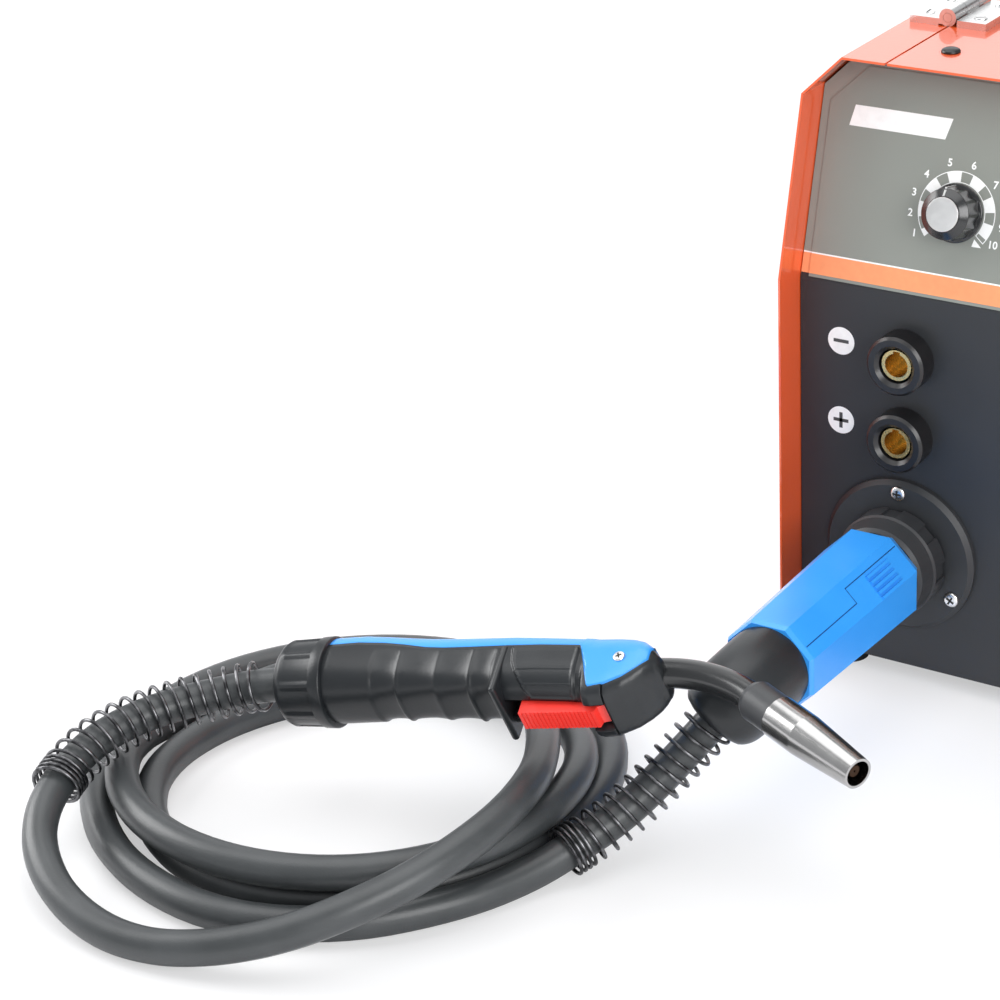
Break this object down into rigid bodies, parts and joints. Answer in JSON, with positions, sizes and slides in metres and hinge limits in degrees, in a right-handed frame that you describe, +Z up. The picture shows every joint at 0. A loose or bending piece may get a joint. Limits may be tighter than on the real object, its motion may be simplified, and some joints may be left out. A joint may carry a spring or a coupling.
{
  "type": "mig welder",
  "caption": "Free-standing wire-feed welder: folded steel case with a hinged side door, lifting handle, sockets and dials, and a plugged-in torch on a coiled cable.",
  "frame": {"origin": "on the floor, midway between the side walls of the case, 2.5 mm ahead of the middle of its length, under the lifting handle", "axes": "+X to the case's right as seen from its front, +Y from the front panel to the rear, +Z up"},
  "size_m": [0.5017, 0.9081, 0.414],
  "materials": {
    "orange_paint": "glossy powder coat",
    "black_steel": "satin black paint",
    "panel_print": "printed film, satin",
    "galvanised": "zinc plated",
    "black_handle": "fine grained moulding",
    "chrome": "polished",
    "black_moulding": "satin moulding",
    "black_gloss": "glossy moulding",
    "brass": "turned, bare",
    "silver_cap": "brushed",
    "green_board": "solder mask",
    "red_rocker": "semi-gloss moulding",
    "rubber": "matt rubber",
    "aluminium": "extruded, bare",
    "motor_steel": "dark lacquer",
    "copper": "copper coated",
    "blue_moulding": "semi-gloss moulding",
    "spring_steel": "spring wire",
    "torch_black": "fine grained moulding"
  },
  "bodies": {
    "housing": {"main_cover": "orange_paint", "base_pan": "black_steel", "front_panel": "black_steel", "rear_panel": "black_steel", "control_overlay": "panel_print", "divider_wall": "galvanised", "feed_plate": "galvanised", "gas_inlet": "galvanised", "wire_guides": "galvanised", "carry_handle": "black_handle", "hinge_leaves": "chrome", "hinge_pins": "chrome", "flange_screws": "chrome", "gas_nozzle": "chrome", "connector_flange": "black_moulding", "fan_frame": "black_moulding", "mains_switch": "black_moulding", "mains_gland": "black_moulding", "spool_hub": "black_moulding", "hub_nut": "black_moulding", "neck_insulator": "black_moulding", "socket_negative": "black_gloss", "socket_positive": "black_gloss", "socket_contacts": "brass", "central_adaptor": "brass", "control_board": "green_board", "feet": "rubber", "plug_sleeve": "rubber", "cable_plug_end": "rubber", "cable_coil": "rubber", "cable_torch_end": "rubber", "swan_neck": "rubber", "heatsink": "aluminium", "feed_motor": "motor_steel", "transformer": "motor_steel", "contact_tip": "copper", "plug_upper_half": "blue_moulding", "plug_lower_half": "blue_moulding", "handle_back_shell": "blue_moulding", "plug_spring": "spring_steel", "torch_spring": "spring_steel", "torch_collar": "torch_black", "handle_front_shell": "torch_black"},
    "door": {"side_door": "orange_paint", "door_hinge_leaves": "chrome"},
    "latch": {"door_latch": "black_moulding"},
    "voltage_dial": {"knob_voltage": "black_moulding", "cap_voltage": "silver_cap"},
    "speed_dial": {"knob_speed": "black_moulding", "cap_speed": "silver_cap"},
    "rocker": {"mains_rocker": "red_rocker"},
    "fan": {"fan_rotor": "black_moulding"},
    "spool": {"wire_spool": "black_moulding", "wire_pack": "copper"},
    "lower_roll": {"drive_roll": "galvanised"},
    "arm": {"pressure_arm": "galvanised"},
    "upper_roll": {"pressure_roll": "motor_steel"},
    "lever": {"tension_lever": "black_moulding"},
    "ring_nut": {"plug_nut": "black_moulding"},
    "trigger": {"torch_trigger": "red_rocker"}
  },
  "joints": [
    {"name": "door_hinge", "type": "hinge", "parent": "housing", "child": "door", "pos_m": [-0.061, 0, 0.363], "axis": [0, 1, 0], "range_deg": [0, 110]},
    {"name": "latch_turn", "type": "hinge", "parent": "door", "child": "latch", "pos_m": [-0.108, 0, 0.054], "axis": [1, 0, 0], "range_deg": [0, 90]},
    {"name": "voltage_turn", "type": "hinge", "parent": "housing", "child": "voltage_dial", "pos_m": [-0.02, -0.19448, 0.28087], "axis": [0, -0.9632, 0.2689], "range_deg": [-150, 150]},
    {"name": "speed_turn", "type": "hinge", "parent": "housing", "child": "speed_dial", "pos_m": [0.052, -0.19448, 0.28087], "axis": [0, -0.9632, 0.2689], "range_deg": [-150, 150]},
    {"name": "rocker_tilt", "type": "hinge", "parent": "housing", "child": "rocker", "pos_m": [0.06, 0.2235, 0.27], "axis": [1, 0, 0], "range_deg": [0, 20]},
    {"name": "fan_spin", "type": "hinge", "parent": "housing", "child": "fan", "pos_m": [0.046, 0.215, 0.13], "axis": [0, 1, 0], "continuous": true},
    {"name": "spool_spin", "type": "hinge", "parent": "housing", "child": "spool", "pos_m": [-0.0685, 0.07, 0.205], "axis": [1, 0, 0], "continuous": true},
    {"name": "roll_spin", "type": "hinge", "parent": "housing", "child": "lower_roll", "pos_m": [-0.0435, -0.13, 0.066], "axis": [1, 0, 0], "continuous": true},
    {"name": "lever_swing", "type": "hinge", "parent": "housing", "child": "lever", "pos_m": [-0.0435, -0.092, 0.056], "axis": [-1, 0, 0], "range_deg": [0, 70]},
    {"name": "arm_swing", "type": "hinge", "parent": "housing", "child": "arm", "pos_m": [-0.0435, -0.16, 0.099], "axis": [1, 0, 0], "range_deg": [0, 31.5]},
    {"name": "upper_roll_spin", "type": "hinge", "parent": "arm", "child": "upper_roll", "pos_m": [-0.0435, -0.13, 0.093], "axis": [1, 0, 0], "continuous": true},
    {"name": "nut_turn", "type": "hinge", "parent": "housing", "child": "ring_nut", "pos_m": [-0.0435, -0.226, 0.0815], "axis": [0, -1, 0], "range_deg": [0, 540]},
    {"name": "trigger_pull", "type": "hinge", "parent": "housing", "child": "trigger", "pos_m": [-0.12798, -0.45298, 0.08491], "axis": [-0.0831, -0.4062, 0.91], "range_deg": [0, 5.3], "stiffness_Nm_per_rad": 0.3, "springref_deg": -2.86}
  ],
  "couplings": [
    {"joint": "arm_swing", "follows": "lever_swing", "ratio": 0.45},
    {"joint": "upper_roll_spin", "follows": "roll_spin", "ratio": -1.3636},
    {"joint": "spool_spin", "follows": "roll_spin", "ratio": -0.17857}
  ]
}
